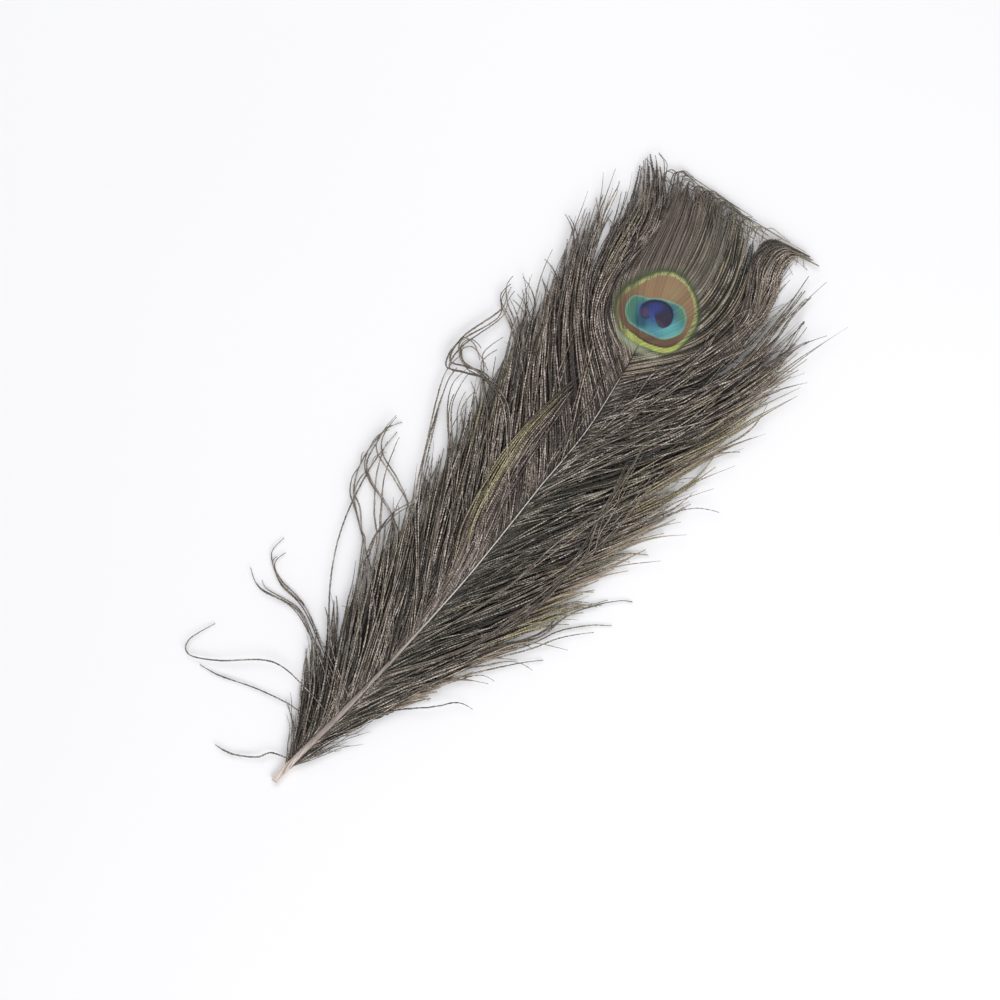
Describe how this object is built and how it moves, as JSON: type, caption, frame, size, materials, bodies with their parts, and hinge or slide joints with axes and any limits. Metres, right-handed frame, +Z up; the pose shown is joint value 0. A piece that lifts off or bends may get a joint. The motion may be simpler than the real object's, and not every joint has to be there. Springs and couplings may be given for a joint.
{
  "type": "peacock feather",
  "caption": "Peacock tail feather with a full eye and loose curling barbs, lying flat for display or craft work.",
  "frame": {"origin": "middle of the feather's outline, on the table that it lies on", "axes": "+Y from the cut quill to the tip, +Z up from the table, with the eye facing up"},
  "size_m": [0.1403, 0.2936, 0.0063],
  "materials": {
    "barbs": "satin",
    "shaft": "satin",
    "eye": "satin"
  },
  "bodies": {
    "root": {"feather": "barbs"}
  },
  "joints": []
}
